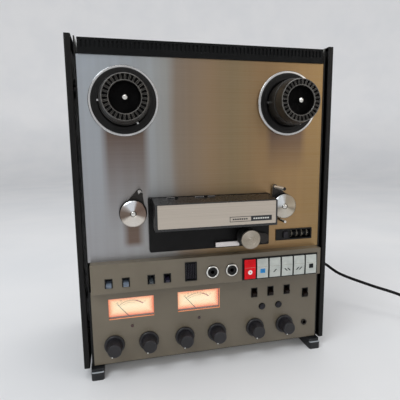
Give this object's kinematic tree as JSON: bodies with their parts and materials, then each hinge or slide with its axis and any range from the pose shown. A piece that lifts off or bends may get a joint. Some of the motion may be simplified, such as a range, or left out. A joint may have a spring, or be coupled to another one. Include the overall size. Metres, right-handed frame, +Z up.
{
  "type": "reel to reel tape deck",
  "caption": "Upright reel to reel tape deck with reel hubs, tension arms, a hinged head cover, transport buttons, level knobs and lit level meters, on foot runners.",
  "frame": {"origin": "on the floor, centre of the four holding-down holes in the foot runners, under the middle of the case", "axes": "+X to the deck's right as seen from the front, +Y from front to back, +Z up"},
  "size_m": [0.7684, 0.4089, 0.5535],
  "materials": {
    "zinc_steel": "plated sheet",
    "case_black": "satin",
    "grille_black": "satin",
    "cover_black": "satin",
    "deck_steel": "brushed upright",
    "panel_bronze": "brushed anodised",
    "foot_black": "moulded",
    "base_black": "satin",
    "head_metal": "polished",
    "motor_zinc": "cast",
    "transformer_iron": "laminated",
    "board": "printed board",
    "cord_black": "matt",
    "screw_steel": "machined",
    "meter_shell": "moulded",
    "socket_metal": "polished",
    "trim_black": "moulded",
    "belt_rubber": "ground",
    "table_metal": "turned",
    "adaptor_black": "moulded",
    "arm_chrome": "polished",
    "roller_metal": "turned",
    "shell_black": "moulded",
    "shaft_steel": "ground",
    "roller_rubber": "turned metal cap over a rubber tyre",
    "lever_metal": "satin",
    "button_red": "moulded",
    "button_pale": "moulded",
    "rocker_black": "ribbed",
    "paddle_pale": "moulded",
    "toggle_black": "moulded",
    "knob_black": "moulded",
    "needle_black": "painted",
    "wheel_white": "printed"
  },
  "bodies": {
    "deck": {"chassis_frame": "zinc_steel", "side_panels": "case_black", "top_grille": "grille_black", "rear_cover": "cover_black", "deck_plate": "deck_steel", "transport_panel": "panel_bronze", "electronics_panel": "panel_bronze", "foot_rails": "foot_black", "head_base": "base_black", "tape_heads": "head_metal", "drive_motors": "motor_zinc", "power_transformer": "transformer_iron", "amplifier_board": "board", "power_cord": "cord_black", "fasteners": "screw_steel", "vu_meters": "meter_shell", "sockets": "socket_metal", "panel_trims": "trim_black", "drive_belt": "belt_rubber"},
    "supply_reel_table": {"supply_reel_table": "table_metal"},
    "takeup_reel_table": {"takeup_reel_table": "table_metal"},
    "supply_hub_adaptor": {"supply_hub_adaptor": "adaptor_black"},
    "takeup_hub_adaptor": {"takeup_hub_adaptor": "adaptor_black"},
    "supply_tension_arm": {"supply_tension_arm": "arm_chrome"},
    "takeup_tension_arm": {"takeup_tension_arm": "arm_chrome"},
    "supply_roller": {"supply_roller": "roller_metal"},
    "takeup_roller": {"takeup_roller": "roller_metal"},
    "head_cover": {"head_cover": "shell_black"},
    "capstan": {"capstan": "shaft_steel"},
    "motor_pulley": {"motor_pulley": "shaft_steel"},
    "pinch_arm": {"pinch_arm": "shaft_steel"},
    "pinch_roller": {"pinch_roller": "roller_rubber"},
    "cue_lever": {"cue_lever": "lever_metal"},
    "record_button": {"record_button": "button_red"},
    "pause_button": {"pause_button": "button_pale"},
    "play_button": {"play_button": "button_pale"},
    "rewind_button": {"rewind_button": "button_pale"},
    "forward_button": {"forward_button": "button_pale"},
    "stop_button": {"stop_button": "button_pale"},
    "power_rocker": {"power_rocker": "rocker_black"},
    "speed_switch": {"speed_switch": "paddle_pale"},
    "reel_size_switch": {"reel_size_switch": "paddle_pale"},
    "bias_switch": {"bias_switch": "paddle_pale"},
    "equalizer_switch": {"equalizer_switch": "paddle_pale"},
    "monitor_left_toggle": {"monitor_left_toggle": "toggle_black"},
    "monitor_right_toggle": {"monitor_right_toggle": "toggle_black"},
    "output_toggle": {"output_toggle": "toggle_black"},
    "memory_toggle": {"memory_toggle": "toggle_black"},
    "record_mode_left": {"record_mode_left": "toggle_black"},
    "record_mode_right": {"record_mode_right": "toggle_black"},
    "mic_left_knob": {"mic_left_knob": "knob_black"},
    "mic_right_knob": {"mic_right_knob": "knob_black"},
    "line_left_knob": {"line_left_knob": "knob_black"},
    "line_right_knob": {"line_right_knob": "knob_black"},
    "output_left_knob": {"output_left_knob": "knob_black"},
    "output_right_knob": {"output_right_knob": "knob_black"},
    "left_needle": {"left_needle": "needle_black"},
    "right_needle": {"right_needle": "needle_black"},
    "counter_wheels": {"counter_wheels": "wheel_white"},
    "counter_reset": {"counter_reset": "toggle_black"}
  },
  "joints": [
    {"name": "supply_reel_spin", "type": "hinge", "parent": "deck", "child": "supply_reel_table", "pos_m": [-0.1388, -0.115, 0.457], "axis": [0, 1, 0], "continuous": true},
    {"name": "supply_lock_turn", "type": "hinge", "parent": "supply_reel_table", "child": "supply_hub_adaptor", "pos_m": [-0.1388, -0.152, 0.457], "axis": [0, 1, 0], "range_deg": [0, 60]},
    {"name": "supply_arm_swing", "type": "hinge", "parent": "deck", "child": "supply_tension_arm", "pos_m": [-0.1314, -0.1115, 0.2797], "axis": [0, 1, 0], "range_deg": [-50, 8]},
    {"name": "supply_roller_spin", "type": "hinge", "parent": "deck", "child": "supply_roller", "pos_m": [-0.1314, -0.12, 0.2797], "axis": [0, 1, 0], "continuous": true},
    {"name": "takeup_reel_spin", "type": "hinge", "parent": "deck", "child": "takeup_reel_table", "pos_m": [0.1388, -0.115, 0.457], "axis": [0, 1, 0], "continuous": true},
    {"name": "takeup_lock_turn", "type": "hinge", "parent": "takeup_reel_table", "child": "takeup_hub_adaptor", "pos_m": [0.1388, -0.152, 0.457], "axis": [0, 1, 0], "range_deg": [0, 60]},
    {"name": "takeup_arm_swing", "type": "hinge", "parent": "deck", "child": "takeup_tension_arm", "pos_m": [0.1314, -0.1115, 0.2797], "axis": [0, 1, 0], "range_deg": [0, 60]},
    {"name": "takeup_roller_spin", "type": "hinge", "parent": "deck", "child": "takeup_roller", "pos_m": [0.1314, -0.12, 0.2797], "axis": [0, 1, 0], "continuous": true},
    {"name": "head_cover_flip", "type": "hinge", "parent": "deck", "child": "head_cover", "pos_m": [0, -0.1195, 0.2995], "axis": [-1, 0, 0], "range_deg": [0, 90]},
    {"name": "capstan_spin", "type": "hinge", "parent": "deck", "child": "capstan", "pos_m": [0.062, -0.115, 0.257], "axis": [0, 1, 0], "continuous": true},
    {"name": "motor_pulley_spin", "type": "hinge", "parent": "deck", "child": "motor_pulley", "pos_m": [-0.038, -0.047, 0.257], "axis": [0, 1, 0], "continuous": true},
    {"name": "pinch_arm_swing", "type": "hinge", "parent": "deck", "child": "pinch_arm", "pos_m": [0.095, -0.115, 0.2235], "axis": [0, 1, 0], "range_deg": [0, 10]},
    {"name": "pinch_roller_spin", "type": "hinge", "parent": "pinch_arm", "child": "pinch_roller", "pos_m": [0.0597, -0.135, 0.2303], "axis": [0, 1, 0], "continuous": true},
    {"name": "cue_slide", "type": "slide", "parent": "deck", "child": "cue_lever", "axis": [-1, 0, 0], "range_m": [0, 0.008]},
    {"name": "record_press", "type": "slide", "parent": "deck", "child": "record_button", "axis": [0, 1, 0], "range_m": [0, 0.0035]},
    {"name": "pause_press", "type": "slide", "parent": "deck", "child": "pause_button", "axis": [0, 1, 0], "range_m": [0, 0.0035]},
    {"name": "play_press", "type": "slide", "parent": "deck", "child": "play_button", "axis": [0, 1, 0], "range_m": [0, 0.0035]},
    {"name": "rewind_press", "type": "slide", "parent": "deck", "child": "rewind_button", "axis": [0, 1, 0], "range_m": [0, 0.0035]},
    {"name": "forward_press", "type": "slide", "parent": "deck", "child": "forward_button", "axis": [0, 1, 0], "range_m": [0, 0.0035]},
    {"name": "stop_press", "type": "slide", "parent": "deck", "child": "stop_button", "axis": [0, 1, 0], "range_m": [0, 0.0035]},
    {"name": "power_rock", "type": "hinge", "parent": "deck", "child": "power_rocker", "pos_m": [-0.0395, -0.121, 0.1765], "axis": [1, 0, 0], "range_deg": [0, 12]},
    {"name": "speed_switch_flip", "type": "hinge", "parent": "deck", "child": "speed_switch", "pos_m": [-0.1755, -0.119, 0.1679], "axis": [-1, 0, 0], "range_deg": [0, 44]},
    {"name": "reel_size_switch_flip", "type": "hinge", "parent": "deck", "child": "reel_size_switch", "pos_m": [-0.148, -0.119, 0.1679], "axis": [-1, 0, 0], "range_deg": [0, 44]},
    {"name": "bias_switch_flip", "type": "hinge", "parent": "deck", "child": "bias_switch", "pos_m": [-0.1069, -0.119, 0.1688], "axis": [-1, 0, 0], "range_deg": [0, 44]},
    {"name": "equalizer_switch_flip", "type": "hinge", "parent": "deck", "child": "equalizer_switch", "pos_m": [-0.08, -0.119, 0.1688], "axis": [-1, 0, 0], "range_deg": [0, 44]},
    {"name": "monitor_left_toggle_flip", "type": "hinge", "parent": "deck", "child": "monitor_left_toggle", "pos_m": [0.0805, -0.1055, 0.1209], "axis": [-1, 0, 0], "range_deg": [0, 28]},
    {"name": "monitor_right_toggle_flip", "type": "hinge", "parent": "deck", "child": "monitor_right_toggle", "pos_m": [0.1123, -0.1055, 0.1209], "axis": [-1, 0, 0], "range_deg": [0, 28]},
    {"name": "output_toggle_flip", "type": "hinge", "parent": "deck", "child": "output_toggle", "pos_m": [0.1447, -0.1055, 0.1209], "axis": [-1, 0, 0], "range_deg": [0, 28]},
    {"name": "memory_toggle_flip", "type": "hinge", "parent": "deck", "child": "memory_toggle", "pos_m": [0.1823, -0.1055, 0.1109], "axis": [-1, 0, 0], "range_deg": [0, 28]},
    {"name": "record_mode_left_press", "type": "slide", "parent": "deck", "child": "record_mode_left", "axis": [0, 1, 0], "range_m": [0, 0.0025]},
    {"name": "record_mode_right_press", "type": "slide", "parent": "deck", "child": "record_mode_right", "axis": [0, 1, 0], "range_m": [0, 0.0025]},
    {"name": "mic_left_knob_turn", "type": "hinge", "parent": "deck", "child": "mic_left_knob", "pos_m": [-0.1711, -0.115, 0.0545], "axis": [0, 1, 0], "range_deg": [0, 310]},
    {"name": "mic_right_knob_turn", "type": "hinge", "parent": "deck", "child": "mic_right_knob", "pos_m": [-0.1129, -0.115, 0.0545], "axis": [0, 1, 0], "range_deg": [0, 310]},
    {"name": "line_left_knob_turn", "type": "hinge", "parent": "deck", "child": "line_left_knob", "pos_m": [-0.0498, -0.115, 0.0545], "axis": [0, 1, 0], "range_deg": [0, 310]},
    {"name": "line_right_knob_turn", "type": "hinge", "parent": "deck", "child": "line_right_knob", "pos_m": [0.0089, -0.115, 0.0545], "axis": [0, 1, 0], "range_deg": [0, 310]},
    {"name": "output_left_knob_turn", "type": "hinge", "parent": "deck", "child": "output_left_knob", "pos_m": [0.0817, -0.115, 0.0545], "axis": [0, 1, 0], "range_deg": [0, 310]},
    {"name": "output_right_knob_turn", "type": "hinge", "parent": "deck", "child": "output_right_knob", "pos_m": [0.1402, -0.115, 0.0545], "axis": [0, 1, 0], "range_deg": [0, 310]},
    {"name": "left_needle_swing", "type": "hinge", "parent": "deck", "child": "left_needle", "pos_m": [-0.1403, -0.103, 0.0941], "axis": [0, 1, 0], "range_deg": [0, 80]},
    {"name": "right_needle_swing", "type": "hinge", "parent": "deck", "child": "right_needle", "pos_m": [-0.023, -0.103, 0.0949], "axis": [0, 1, 0], "range_deg": [0, 80]},
    {"name": "counter_wheels_spin", "type": "hinge", "parent": "deck", "child": "counter_wheels", "pos_m": [0.17, -0.101, 0.225], "axis": [1, 0, 0], "continuous": true},
    {"name": "counter_reset_press", "type": "slide", "parent": "deck", "child": "counter_reset", "axis": [0, 1, 0], "range_m": [0, 0.0025]}
  ],
  "couplings": [
    {"joint": "motor_pulley_spin", "follows": "capstan_spin", "ratio": 5.3333},
    {"joint": "counter_wheels_spin", "follows": "takeup_reel_spin", "ratio": -0.1}
  ]
}
